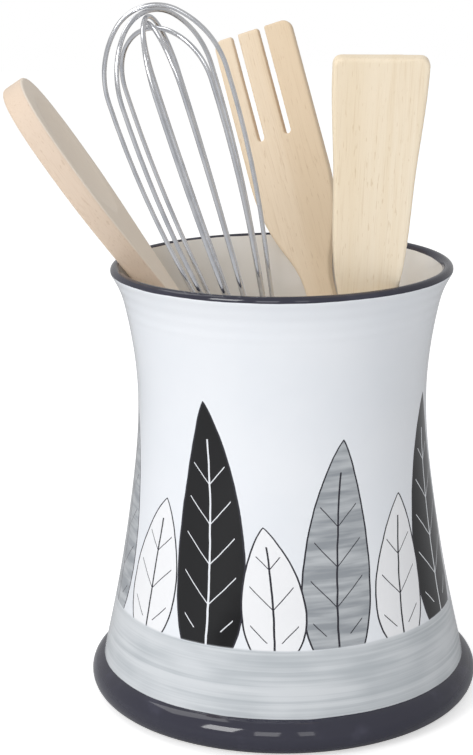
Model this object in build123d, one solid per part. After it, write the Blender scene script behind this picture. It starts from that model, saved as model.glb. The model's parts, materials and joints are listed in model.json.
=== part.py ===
from build123d import *
import math
import os
from bisect import bisect_left

# Glazed stoneware jar, all lengths in millimetres and all angles in degrees
crock_height = 197.2
foot_radius = 88.2
base_radius = 82.6
waist_radius = 64.5
rim_radius = 75.4
wall = 4.4
foot_wall = 8.0
floor_thickness = 8.0
cove_radius = 8.0
flange_height = 16.3
foot_undercut = 7.9
foot_chamfer = 0.8
foot_ring_width = 14.0
foot_recess = 2.4
waist_height_share = 0.70
flange_bulge_share = 0.53
lip_lean = 30.0

# Wall curve as shares of height and radius, from the base up to the waist and from there to the lip
lower_wall_shares = ((0.236, 0.641), (0.606, 0.204))
upper_wall_shares = ((0.630, 0.400), (0.800, 0.629))

# Gaps, cuts and the chamfer of the wooden edges
seat_gap = 0.3
fit_gap = 0.1
overrun = 2.0
edge_chamfer = 0.7

# Beech spoon with a shallow bowl
spoon_length = 319.7
spoon_thickness = 10.4
spoon_handle_width = 14.0
spoon_head_width = 45.5
spoon_head_length = 147.0
bowl_width = 37.0
bowl_length = 62.0
bowl_depth = 3.6
spoon_widest_share = 0.725
spoon_shoulder_shares = ((0.40, 0.32), (0.77, 0.88))

# Beech fork with three tines
fork_length = 304.0
fork_thickness = 9.0
fork_tip_thickness = 5.0
fork_handle_width = 13.0
fork_head_width = 38.8
fork_head_length = 128.0
fork_tip_rounding = 4.5
tine_slot_width = 3.2
tine_slot_length = 52.5
tine_slot_shares = (0.283, 0.626)
fork_widest_share = 0.45
fork_shoulder_shares = ((0.43, 0.53),)

# Beech turner with a blade that widens to its tip
turner_length = 297.3
turner_thickness = 9.0
turner_tip_thickness = 6.0
turner_handle_width = 13.0
turner_tip_width = 38.0
turner_head_length = 134.0
turner_tip_rounding = 3.5
turner_shoulder_shares = ((0.222, 0.438), (0.644, 0.793))

# Balloon whisk of steel wire loops on a hollow steel handle
wire_radius = 1.0
loop_angles = (0.0, 41.0, 79.5, 104.5, 137.0)
loop_pitch = 2.2
balloon_radius = 24.7
balloon_height = 186.8
crown_height = 32.5
crown_turn = 42.9
flare_share = 1.307
wire_bend_radius = 12.0
wire_margin = 0.4
wire_sides = 8
handle_length = 101.0
handle_top_radius = 7.5
handle_grip_radius = 8.8
handle_end_radius = 6.5
handle_segments = 2
tube_wall = 0.8
plug_depth = 9.0
cap_length = 10.0
cap_spigot = 7.0
cap_nose_radius = 5.6
cap_nose_chamfer = 1.0
hang_wire_radius = 1.1
hang_loop_radius = 8.5
hang_neck_radius = 4.0
hang_leg_offset = 3.0
hang_leg_depth = 7.0

# How each tool stands: its foot as shares of the floor's radius, the direction from the jar's axis
# in which it crosses the rim, and the direction in which its face looks
spoon_foot_shares = (0.82, 0.37)
spoon_rim_direction = 173.4
spoon_facing = 0.0
fork_foot_shares = (0.84, 0.05)
fork_rim_direction = 78.3
fork_facing = 258.0
turner_foot_shares = (0.378, 0.125)
turner_rim_direction = 304.8
turner_facing = 272.2
whisk_foot_shares = (0.461, -0.404)
whisk_rim_direction = 245.7
whisk_facing = 270.0

# Fineness of the search for each tool's lean
feeler_spacing = 1.0
lean_steps = 30


def between(start, end, share):
    """The value at a share of the way from start to end."""
    return start + (end - start) * share


def polar(centre, radius, angle):
    """The point at an angle on a circle."""
    turn = math.radians(angle)
    return (centre[0] + radius * math.cos(turn), centre[1] + radius * math.sin(turn))


# Sizes that follow from the jar's own
waist_height = between(flange_height, crock_height, waist_height_share)
lip_radius = wall / 2
lip_centre = (rim_radius - lip_radius, crock_height - lip_radius)
lip_tangent = polar((0, 0), 1, 90 - lip_lean)
floor_radius = base_radius - foot_wall


def wall_points(inset):
    """Points of the wall between its base and its lip, moved in by an inset."""
    lower = [(between(waist_radius, base_radius, out), between(flange_height, waist_height, up))
             for up, out in lower_wall_shares]
    upper = [(between(waist_radius, rim_radius, out), between(waist_height, crock_height, up))
             for up, out in upper_wall_shares]
    points = lower + [(waist_radius, waist_height)] + upper
    return [(radius - inset, height) for radius, height in points]


def outer_outline():
    """The outline from the middle of the underside, round the foot and up the outside to the lip."""
    ring_outer = foot_radius - foot_undercut
    ring_inner = ring_outer - foot_ring_width
    flange_low = (ring_outer + foot_chamfer, foot_chamfer)
    base = (base_radius, flange_height)
    points = wall_points(0)
    base_tangent = (points[0][0] - base_radius, points[0][1] - flange_height)
    underside = Polyline((0, foot_recess), (ring_inner - foot_recess, foot_recess), (ring_inner, 0),
                         (ring_outer, 0), flange_low)
    flange = ThreePointArc(flange_low, (foot_radius, flange_height * flange_bulge_share), base)
    lip_start = polar(lip_centre, lip_radius, -lip_lean)
    side = Spline([base] + points + [lip_start], tangents=(base_tangent, lip_tangent))
    return [underside, flange, side]


def inner_outline():
    """The outline from the floor, round the cove and up the inside to the lip."""
    cove_top = (floor_radius, floor_thickness + cove_radius)
    cove = CenterArc((floor_radius - cove_radius, cove_top[1]), cove_radius, 270, 90)
    lip_end = polar(lip_centre, lip_radius, 180 - lip_lean)
    side = Spline([cove_top] + wall_points(wall) + [lip_end], tangents=((0, 1), lip_tangent))
    return [cove, side]


def crock_body():
    """The jar, turned about its axis."""
    lip = CenterArc(lip_centre, lip_radius, -lip_lean, 180)
    floor_top = Line((0, floor_thickness), (floor_radius - cove_radius, floor_thickness))
    axis_line = Line((0, foot_recess), (0, floor_thickness))
    edges = outer_outline() + [lip] + inner_outline() + [floor_top, axis_line]
    return revolve(Plane.XZ * make_face(Curve() + edges), Axis.Z)


def sample(edge):
    """Points spread evenly along an edge, both its ends included."""
    steps = max(2, math.ceil(edge.length / feeler_spacing))
    return [edge @ (step / steps) for step in range(steps + 1)]


def wall_table():
    """Pairs of height and inner radius, from the cove to the top of the lip."""
    lip_top = CenterArc(lip_centre, lip_radius, 90, 90 - lip_lean)
    points = [point for edge in inner_outline() + [lip_top] for point in sample(edge)]
    return sorted((point.Y, point.X) for point in points)


inner_wall = wall_table()
inner_heights = [height for height, radius in inner_wall]


def inner_radius(height):
    """The jar's inner radius at a height, in line between two points of the wall's table."""
    place = min(max(bisect_left(inner_heights, height), 1), len(inner_wall) - 1)
    low, high = inner_wall[place - 1], inner_wall[place]
    if high[0] == low[0]:
        return low[1]
    return between(low[1], high[1], (height - low[0]) / (high[0] - low[0]))


def tool_plane(foot, reach, rim_direction, facing):
    """The plane at a tool's foot, with its normal up the tool and its y axis out of the tool's back."""
    across, along = polar((0, 0), reach, rim_direction)
    upward = (Vector(across, along, crock_height) - foot).normalized()
    face = Vector(*polar((0, 0), 1, facing))
    return Plane(origin=foot, x_dir=upward.cross(face).normalized(), z_dir=upward)


def placed(plane, feelers):
    """Each feeler's distance from the jar's axis, its height and its radius, once it is on a plane."""
    start, right, back, up = (tuple(v) for v in (plane.origin, plane.x_dir, plane.y_dir, plane.z_dir))
    for (x, y, z), radius in feelers:
        east, north, height = (start[i] + x * right[i] + y * back[i] + z * up[i] for i in range(3))
        yield math.hypot(east, north), height, radius


def stand(plane, feelers):
    """The plane moved up or down until the lowest feeler is a seat gap above the floor."""
    lowest = min(height - radius for reach, height, radius in placed(plane, feelers))
    lift = Vector(0, 0, floor_thickness + seat_gap - lowest)
    return Plane(origin=plane.origin + lift, x_dir=plane.x_dir, z_dir=plane.z_dir)


def is_clear(plane, feelers):
    """Whether every feeler below the rim keeps the seat gap to the inner wall."""
    slant = plane.z_dir.Z
    return all(reach + radius / slant + seat_gap <= inner_radius(height)
               for reach, height, radius in placed(plane, feelers) if height < crock_height)


def lean(feelers, foot_shares, rim_direction, facing):
    """The plane of a tool that stands on the floor and leans until it meets the wall or the lip."""
    foot = Vector(floor_radius * foot_shares[0], floor_radius * foot_shares[1], floor_thickness)
    clear, blocked = 0.0, rim_radius
    for step in range(lean_steps):
        reach = (clear + blocked) / 2
        if is_clear(stand(tool_plane(foot, reach, rim_direction, facing), feelers), feelers):
            clear = reach
        else:
            blocked = reach
    return stand(tool_plane(foot, clear, rim_direction, facing), feelers)


def taper(handle_thickness, tip_thickness, neck_height, length):
    """The function that gives a flat tool's thickness at a height."""
    def thickness_at(height):
        share = (height - neck_height) / (length - neck_height)
        return between(handle_thickness, tip_thickness, min(max(share, 0), 1))
    return thickness_at


def handle_side(handle_width, neck_height, shares, widest):
    """The right side of a flat tool: its straight handle and its shoulder out to the widest point."""
    half = handle_width / 2
    shoulder = [(between(half, widest[0], out), between(neck_height, widest[1], up)) for up, out in shares]
    straight = Line((half, half), (half, neck_height))
    return [straight, Spline([(half, neck_height)] + shoulder + [widest], tangents=((0, 1), (0, 1)))]


def flat_feelers(side, handle_width, thickness_at):
    """Feelers along the four long edges and round the foot of a flat tool."""
    foot = CenterArc((0, handle_width / 2), handle_width / 2 - edge_chamfer, 180, 180)
    outline = [(turn * (point.X - edge_chamfer), point.Y)
               for edge in side for point in sample(edge) for turn in (-1, 1)]
    outline += [(point.X, point.Y) for point in sample(foot)]
    return [((x, face * (thickness_at(z) / 2 - edge_chamfer), z), edge_chamfer)
            for x, z in outline for face in (-1, 1)]


def flat_tool(side, tip, handle_width, thickness_at, neck_height, length):
    """A flat wooden tool: its front outline cut across its side outline, with chamfered edges."""
    foot = CenterArc((0, handle_width / 2), handle_width / 2, 180, 180)
    front = make_face(Curve() + [foot] + side + [mirror(edge, Plane.YZ) for edge in side] + tip)
    thick, thin = thickness_at(0) / 2, thickness_at(length) / 2
    right = [(thick, -overrun), (thick, neck_height), (thin, length), (thin, length + overrun)]
    left = [(-y, z) for y, z in reversed(right)]
    profile = make_face(Polyline(right + left, close=True))
    board = extrude(Plane.XZ * front, amount=2 * thick, both=True)
    blank = board & extrude(Plane.YZ * profile, amount=front.bounding_box().size.X, both=True)
    rims = [edge for edge in blank.edges() if abs(edge.center().Y) > thin / 2
            and not is_crease(edge, neck_height)]
    return chamfer(rims, edge_chamfer)


def is_crease(edge, neck_height):
    """Whether an edge only marks where a board's taper starts."""
    box = edge.bounding_box()
    return box.size.Z < fit_gap and abs(box.center().Z - neck_height) < fit_gap


def bowl_cutter(face_y, centre_z):
    """The ring whose outer side sinks a shallow bowl into a spoon's face."""
    across = ((bowl_width / 2) ** 2 + bowl_depth ** 2) / (2 * bowl_depth)
    along = ((bowl_length / 2) ** 2 + bowl_depth ** 2) / (2 * bowl_depth)
    ring = Rotation(0, 90, 0) * Torus(along - across, across)
    return Pos(0, face_y + bowl_depth - along, centre_z) * ring


def wooden_spoon():
    """The spoon and the plane that it stands on."""
    neck = spoon_length - spoon_head_length
    widest = (spoon_head_width / 2, between(neck, spoon_length, spoon_widest_share))
    side = handle_side(spoon_handle_width, neck, spoon_shoulder_shares, widest)
    tip = [Spline([widest, (0, spoon_length), (-widest[0], widest[1])], tangents=((0, 1), (0, -1)))]
    thickness_at = taper(spoon_thickness, spoon_thickness, neck, spoon_length)
    blank = flat_tool(side, tip, spoon_handle_width, thickness_at, neck, spoon_length)
    spoon = blank - bowl_cutter(-spoon_thickness / 2, widest[1])
    feelers = flat_feelers(side, spoon_handle_width, thickness_at)
    return spoon, lean(feelers, spoon_foot_shares, spoon_rim_direction, spoon_facing)


def tine_slots():
    """The slots between the fork's tines, each with a round end."""
    radius = tine_slot_width / 2
    end_height = fork_length - tine_slot_length + radius
    straight = Rectangle(tine_slot_width, tine_slot_length, align=(Align.CENTER, Align.MIN))
    slot = extrude(Plane.XZ * (straight + Circle(radius)), amount=fork_thickness, both=True)
    return [Pos(between(-fork_head_width / 2, fork_head_width / 2, share), 0, end_height) * slot
            for share in tine_slot_shares]


def wooden_fork():
    """The fork and the plane that it stands on."""
    neck = fork_length - fork_head_length
    widest = (fork_head_width / 2, between(neck, fork_length, fork_widest_share))
    corner = (widest[0] - fork_tip_rounding, fork_length - fork_tip_rounding)
    side = handle_side(fork_handle_width, neck, fork_shoulder_shares, widest)
    side += [Line(widest, (widest[0], corner[1])), CenterArc(corner, fork_tip_rounding, 0, 90)]
    tip = [Line((-corner[0], fork_length), (corner[0], fork_length))]
    thickness_at = taper(fork_thickness, fork_tip_thickness, neck, fork_length)
    fork = flat_tool(side, tip, fork_handle_width, thickness_at, neck, fork_length)
    for slot in tine_slots():
        fork -= slot
    feelers = flat_feelers(side, fork_handle_width, thickness_at)
    return fork, lean(feelers, fork_foot_shares, fork_rim_direction, fork_facing)


def wooden_turner():
    """The turner and the plane that it stands on."""
    neck = turner_length - turner_head_length
    corner = (turner_tip_width / 2 - turner_tip_rounding, turner_length - turner_tip_rounding)
    widest = (turner_tip_width / 2, corner[1])
    side = handle_side(turner_handle_width, neck, turner_shoulder_shares, widest)
    side += [CenterArc(corner, turner_tip_rounding, 0, 90)]
    tip = [Line((-corner[0], turner_length), (corner[0], turner_length))]
    thickness_at = taper(turner_thickness, turner_tip_thickness, neck, turner_length)
    turner = flat_tool(side, tip, turner_handle_width, thickness_at, neck, turner_length)
    feelers = flat_feelers(side, turner_handle_width, thickness_at)
    return turner, lean(feelers, turner_foot_shares, turner_rim_direction, turner_facing)


# Levels along the whisk, from the bottom of its hanging loop
hang_reach = hang_loop_radius + hang_neck_radius
hang_turn = math.degrees(math.acos((hang_leg_offset + hang_neck_radius) / hang_reach))
hang_centre = hang_wire_radius + hang_loop_radius
cap_base = hang_centre + hang_reach * math.sin(math.radians(hang_turn))
tube_base = cap_base + cap_length
tube_top = tube_base + handle_length
apex = tube_top + balloon_height
widest_level = apex - crown_height
plug_radius = handle_top_radius - tube_wall - fit_gap
strand_radius = plug_radius - wire_margin - wire_radius


def wire_section(radius):
    """The section of a wire, or of a hole for one."""
    return RegularPolygon(radius, wire_sides)


def whisk_handle():
    """The hollow handle, swollen at the grip and open at both ends."""
    middle = (tube_base + tube_top) / 2
    swell = ThreePointArc((handle_end_radius, tube_base), (handle_grip_radius, middle),
                          (handle_top_radius, tube_top))
    points = [swell @ (step / handle_segments) for step in range(handle_segments + 1)]
    outside = [(point.X, point.Y) for point in points]
    inside = [(x - tube_wall, y) for x, y in reversed(outside)]
    return revolve(Plane.XZ * make_face(Polyline(outside + inside, close=True)), Axis.Z)


def whisk_wire_plug():
    """The plug in the handle's mouth, with a hole for each strand of wire."""
    plug = Pos(0, 0, tube_top - plug_depth / 2) * Cylinder(plug_radius, plug_depth)
    hole = extrude(wire_section(wire_radius + fit_gap), amount=plug_depth, both=True)
    for angle in loop_angles:
        for side in (0, 180):
            x, y = polar((0, 0), strand_radius, angle + side)
            plug -= Pos(x, y, tube_top - plug_depth / 2) * Rotation(0, 0, angle) * hole
    return plug


def whisk_end_cap():
    """The cap that closes the handle, with two holes for the legs of the hanging loop."""
    spigot = handle_end_radius - tube_wall - fit_gap
    spigot_top = tube_base + cap_spigot
    outline = Polyline((0, cap_base), (cap_nose_radius, cap_base), (handle_end_radius, tube_base),
                       (spigot, tube_base), (spigot, spigot_top), (0, spigot_top), close=True)
    cap = revolve(Plane.XZ * make_face(outline), Axis.Z)
    cap = chamfer(cap.edges().sort_by(Axis.Z)[0], cap_nose_chamfer)
    hole = extrude(wire_section(hang_wire_radius + fit_gap), amount=hang_leg_depth + fit_gap, both=True)
    for side in (-1, 1):
        cap -= Pos(side * hang_leg_offset, 0, cap_base) * hole
    return cap


def whisk_hanging_loop():
    """The loop of wire that the whisk hangs by."""
    top = (hang_leg_offset, cap_base + hang_leg_depth)
    leg = Line(top, (hang_leg_offset, cap_base))
    neck = CenterArc((hang_leg_offset + hang_neck_radius, cap_base), hang_neck_radius, 180, hang_turn)
    ring = CenterArc((0, hang_centre), hang_loop_radius, hang_turn, -(180 + 2 * hang_turn))
    path = Plane.XZ * (Curve() + [leg, neck, ring, mirror(neck, Plane.YZ), mirror(leg, Plane.YZ)])
    section = Plane(origin=(top[0], 0, top[1]), z_dir=(0, 0, -1)) * wire_section(hang_wire_radius)
    return sweep(section, path=path)


def crown_radii(half_width, height):
    """The radii of the arc over the top and of the arc down the side of a loop's crown."""
    sine, cosine = math.sin(math.radians(crown_turn)), math.cos(math.radians(crown_turn))
    scale = sine * cosine - (1 - sine) * (1 - cosine)
    return ((half_width * cosine - height * (1 - sine)) / scale,
            (height * sine - half_width * (1 - cosine)) / scale)


def wire_outline(index):
    """Half of a wire loop's centre line in its own plane, from inside the plug up to the widest level."""
    inward, rise = balloon_radius - strand_radius, widest_level - tube_top
    flare = flare_share * math.atan(inward / rise)
    sine, versine = math.sin(flare), 1 - math.cos(flare)
    side_radius = (rise * sine - inward * math.cos(flare)) / versine - wire_bend_radius
    turn = math.degrees(flare)
    bend = CenterArc((strand_radius + wire_bend_radius, tube_top), wire_bend_radius, 180, -turn)
    side = CenterArc((balloon_radius - side_radius, widest_level), side_radius, -turn, turn)
    leg = Line((strand_radius, tube_top - plug_depth), (strand_radius, tube_top))
    run = Line(bend @ 1, side @ 0)
    crown_top = apex - index * loop_pitch
    top_radius, flank_radius = crown_radii(balloon_radius, crown_top - widest_level)
    flank = CenterArc((balloon_radius - flank_radius, widest_level), flank_radius, 0, 90 - crown_turn)
    top = CenterArc((0, crown_top - top_radius), top_radius, 90 - crown_turn, 2 * crown_turn)
    half = [leg, bend, run, side, flank]
    return half, top


def whisk_wire(index):
    """One loop of wire, from the plug over the crown and back."""
    half, top = wire_outline(index)
    path = Curve() + half + [top] + [mirror(edge, Plane.YZ) for edge in half]
    section = Pos(strand_radius, 0, tube_top - plug_depth) * wire_section(wire_radius)
    return Rotation(0, 0, loop_angles[index]) * sweep(section, path=Plane.XZ * path)


def whisk_feelers():
    """Feelers on the whisk's hanging loop, down the middle of its handle and along its wires."""
    ring = CenterArc((0, hang_centre), hang_loop_radius, 0, 360)
    feelers = [((point.X, 0, point.Y), hang_wire_radius) for point in sample(ring)]
    middle = (tube_base + tube_top) / 2
    feelers += [((0, 0, tube_base), handle_end_radius), ((0, 0, middle), handle_grip_radius),
                ((0, 0, tube_top), handle_top_radius)]
    for index, angle in enumerate(loop_angles):
        half, top = wire_outline(index)
        for point in [point for edge in half for point in sample(edge)]:
            for side in (0, 180):
                x, y = polar((0, 0), point.X, angle + side)
                feelers.append(((x, y, point.Y), wire_radius))
    return feelers


def whisk():
    """The whisk's pieces by name, and the plane that the whisk stands on."""
    pieces = {"whisk_handle": whisk_handle(), "whisk_wire_plug": whisk_wire_plug(),
              "whisk_end_cap": whisk_end_cap(), "whisk_hanging_loop": whisk_hanging_loop()}
    for index in range(len(loop_angles)):
        pieces[f"whisk_wire_{index + 1}"] = whisk_wire(index)
    return pieces, lean(whisk_feelers(), whisk_foot_shares, whisk_rim_direction, whisk_facing)


def save(name, shape):
    """Write one piece to its own file."""
    shape.label = name
    export_step(shape, f"parts/{name}.step")


os.makedirs("parts", exist_ok=True)
save("crock_body", crock_body())
wooden_tools = {"wooden_spoon": wooden_spoon, "wooden_fork": wooden_fork, "wooden_turner": wooden_turner}
for tool_name, make_tool in wooden_tools.items():
    tool, standing = make_tool()
    save(tool_name, standing.location * tool)
    print(tool_name, "foot", standing.origin, "axis", standing.z_dir)
whisk_pieces, standing = whisk()
for piece_name, piece in whisk_pieces.items():
    save(piece_name, standing.location * piece)
print("whisk", "foot", standing.origin, "axis", standing.z_dir)
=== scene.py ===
"""The looks of a glazed utensil crock with three wooden tools and a balloon whisk standing in it."""

import json
import logging
import math
from dataclasses import dataclass
from enum import Enum

import bmesh
import bpy
import numpy as np
from mathutils import Matrix, Vector


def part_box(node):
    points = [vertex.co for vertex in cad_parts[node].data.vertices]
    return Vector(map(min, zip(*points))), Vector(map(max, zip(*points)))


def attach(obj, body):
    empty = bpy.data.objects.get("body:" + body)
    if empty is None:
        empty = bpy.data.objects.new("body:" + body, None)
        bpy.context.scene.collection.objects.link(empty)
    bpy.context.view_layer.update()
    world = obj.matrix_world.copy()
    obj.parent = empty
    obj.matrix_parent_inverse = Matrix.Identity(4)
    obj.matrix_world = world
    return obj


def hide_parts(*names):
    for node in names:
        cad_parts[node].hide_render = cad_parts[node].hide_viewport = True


MM = 0.001
LOG = logging.getLogger("utensil_crock")
FACE_ATTRIBUTE = "out_of_face"
WHITE = (1, 1, 1, 1)
SAME_PLACE = 0.001 * MM
ALL_SMOOTH = 180

Colour = tuple[float, float, float, float]
Point = tuple[float, float]
Node, Socket, Tree = bpy.types.Node, bpy.types.NodeSocket, bpy.types.NodeTree
Material, Piece = bpy.types.Material, bpy.types.Object


def paint(red: int, green: int, blue: int) -> Colour:
    """The colour that the shaders work in, by the usual curve of a screen.

    Args:
        red: Red as it shows on a screen, from 0 to 255.
        green: Green, likewise.
        blue: Blue, likewise.

    Returns:
        The linear colour with full alpha.
    """
    shown = [channel / 255 for channel in (red, green, blue)]
    linear = [c / 12.92 if c <= 0.04045 else ((c + 0.055) / 1.055) ** 2.4 for c in shown]
    return (linear[0], linear[1], linear[2], 1.0)


class Graph:
    """A shader node tree with short ways to add and join its nodes."""

    def __init__(self, tree: Tree) -> None:
        """Work on a tree."""
        self.tree = tree

    def feed(self, socket: Socket, value: object) -> None:
        """Join a socket to another, or set it to a constant."""
        if isinstance(value, Socket):
            self.tree.links.new(value, socket)
        else:
            socket.default_value = value

    def fill(self, node: Node, inputs: dict) -> None:
        """Feed some inputs of a node, given by name or by place."""
        for key, value in inputs.items():
            self.feed(node.inputs[key], value)

    def node(self, kind: str, inputs: dict | None = None, **settings: object) -> Node:
        """Add a node.

        Args:
            kind: The node's type without its ShaderNode prefix.
            inputs: Values or sockets by the name or the place of the input.
            settings: Properties of the node.

        Returns:
            The new node.
        """
        made = self.tree.nodes.new("ShaderNode" + kind)
        for name, value in settings.items():
            setattr(made, name, value)
        self.fill(made, inputs or {})
        return made

    def math(self, operation: str, *values: object) -> Socket:
        """The result of a Math node on up to three values."""
        return self.node("Math", dict(enumerate(values)), operation=operation).outputs[0]

    def product(self, first: object, *others: object) -> object:
        """The product of some values, or the mask of the places where every one of some masks is on."""
        for other in others:
            first = self.math("MULTIPLY", first, other)
        return first

    def mix(self, share: object, first: object, second: object) -> Socket:
        """A colour that goes from the first to the second as the share goes from 0 to 1."""
        return self.node("Mix", {0: share, 6: first, 7: second}, data_type="RGBA").outputs[2]

    def step(self, value: object, low: float, high: float) -> Socket:
        """A share that rises smoothly from 0 at the low value to 1 at the high one."""
        return self.node("MapRange", {0: value, 1: low, 2: high}, interpolation_type="SMOOTHSTEP").outputs[0]

    def stretched(self, vector: Socket, scale: tuple) -> Socket:
        """A vector scaled along each of its axes."""
        return self.node("VectorMath", {0: vector, 1: scale}, operation="MULTIPLY").outputs[0]

    def noise(self, vector: Socket, scale: float, detail: float = 2.0) -> Socket:
        """Smooth noise around 0.5."""
        return self.node("TexNoise", {"Vector": vector, "Scale": scale, "Detail": detail}).outputs[0]

    def clouds(self, point: Socket, scale: float, low: float, high: float) -> Socket:
        """Soft clouds that rise from 0 to 1 between a low and a high value of some noise."""
        return self.step(self.noise(point, scale, 3.0), low, high)

    def object_point(self) -> Socket:
        """The point of the surface, in the object's own coordinates."""
        return self.node("TexCoord").outputs["Object"]

    def bump(self, height: object, depth: float) -> Socket:
        """The normal of a surface whose height, from 0 to 1, stands for a depth in metres."""
        return self.node("Bump", {"Height": height, "Distance": depth}).outputs[0]


def new_group(name: str, inputs: tuple, outputs: tuple) -> tuple[Graph, dict]:
    """Make a node group that several materials share.

    Args:
        name: The group's name.
        inputs: Pairs of a name and a socket kind, Float, Vector or Color.
        outputs: Pairs likewise.

    Returns:
        The group's graph, and its input sockets by name.
    """
    tree = bpy.data.node_groups.new(name, "ShaderNodeTree")
    for in_out, sockets in (("INPUT", inputs), ("OUTPUT", outputs)):
        for socket_name, kind in sockets:
            tree.interface.new_socket(socket_name, in_out=in_out, socket_type="NodeSocket" + kind)
    entry = tree.nodes.new("NodeGroupInput")
    return Graph(tree), {socket_name: entry.outputs[socket_name] for socket_name, _ in inputs}


def close_group(graph: Graph, results: dict) -> Tree:
    """Join the results to a group's outputs.

    Args:
        graph: The group's graph.
        results: Sockets by the name of the output.

    Returns:
        The group.
    """
    end = graph.tree.nodes.new("NodeGroupOutput")
    graph.fill(end, results)
    return graph.tree


def new_material(name: str) -> tuple[Material, Graph, Node]:
    """Make a material.

    Args:
        name: The material's name.

    Returns:
        The material, its graph and its Principled BSDF.
    """
    material = bpy.data.materials.new(name)
    material.use_nodes = True
    return material, Graph(material.node_tree), material.node_tree.nodes["Principled BSDF"]


class LeafKind(Enum):
    """The three ways in which a painted leaf is filled."""

    BLACK = "black"
    GREY = "grey"
    WHITE = "white"


@dataclass(frozen=True)
class PaintedLeaf:
    """One upright leaf of the painted border.

    Attributes:
        kind: How the leaf is filled.
        place: Its direction from the jar's axis, in degrees to the right of the front.
        height: From the brushed band up to its tip.
        half_width: Half of its greatest width, roughly.
        lean: How far its tip leans to the right, as a share of its height.
    """

    kind: LeafKind
    place: float
    height: float
    half_width: float
    lean: float


@dataclass(frozen=True)
class LeafPattern:
    """The shape and the lines of a painted leaf, which every leaf of the border shares."""

    ring_radius: float = 67 * MM
    outline: float = 0.75 * MM
    midrib: float = 0.42 * MM
    vein: float = 0.30 * MM
    vein_spacing: float = 8.5 * MM
    vein_slope: float = 1.1
    vein_reach_share: float = 0.74
    vein_low_share: float = 0.06
    vein_high_share: float = 0.76
    midrib_high_share: float = 0.84
    base_share: float = 0.12
    fullness: float = 1.9
    base_power: float = 0.5
    tip_power: float = 0.8

    def build(self) -> Tree:
        """The node group that finds where one leaf and its lines are."""
        graph, given = new_group(
            "painted_leaf",
            (("Around", "Float"), ("Up", "Float"), ("Place", "Float"), ("Height", "Float"),
             ("Half width", "Float"), ("Lean", "Float")),
            (("Fill", "Float"), ("Outline", "Float"), ("Vein", "Float")))
        half_turn = math.pi * self.ring_radius
        share = graph.math("DIVIDE", given["Up"], given["Height"])
        away = graph.math("SUBTRACT", given["Around"], given["Place"])
        away = graph.math("WRAP", away, half_turn, -half_turn)
        sway = graph.product(graph.product(share, share),
                             graph.product(given["Lean"], given["Height"]))
        aside = graph.math("ABSOLUTE", graph.math("SUBTRACT", away, sway))
        rise = graph.math("POWER", graph.math("MAXIMUM", graph.math("ADD", share, self.base_share), 0.0),
                          self.base_power)
        close = graph.math("POWER", graph.math("MAXIMUM", graph.math("SUBTRACT", 1.0, share), 0.0),
                           self.tip_power)
        reach = graph.product(graph.product(rise, close),
                              graph.product(given["Half width"], self.fullness))
        depth = graph.math("SUBTRACT", reach, aside)
        fill = graph.product(graph.math("GREATER_THAN", depth, 0.0), graph.math("GREATER_THAN", share, 0.0))
        outline = graph.product(fill, graph.math("LESS_THAN", depth, self.outline))
        level = graph.product(graph.math("GREATER_THAN", share, self.vein_low_share),
                              graph.math("LESS_THAN", share, self.vein_high_share))
        midrib = graph.product(graph.math("LESS_THAN", aside, self.midrib),
                               graph.math("LESS_THAN", share, self.midrib_high_share))
        swept = graph.math("SUBTRACT", given["Up"], graph.product(aside, self.vein_slope))
        beat = graph.math("PINGPONG", swept, self.vein_spacing)
        near_edge = graph.product(reach, self.vein_reach_share)
        side_vein = graph.product(graph.math("LESS_THAN", beat, self.vein), level,
                                  graph.math("LESS_THAN", aside, near_edge))
        vein = graph.product(fill, graph.math("MAXIMUM", midrib, side_vein))
        return close_group(graph, {"Fill": fill, "Outline": outline, "Vein": vein})


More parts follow.
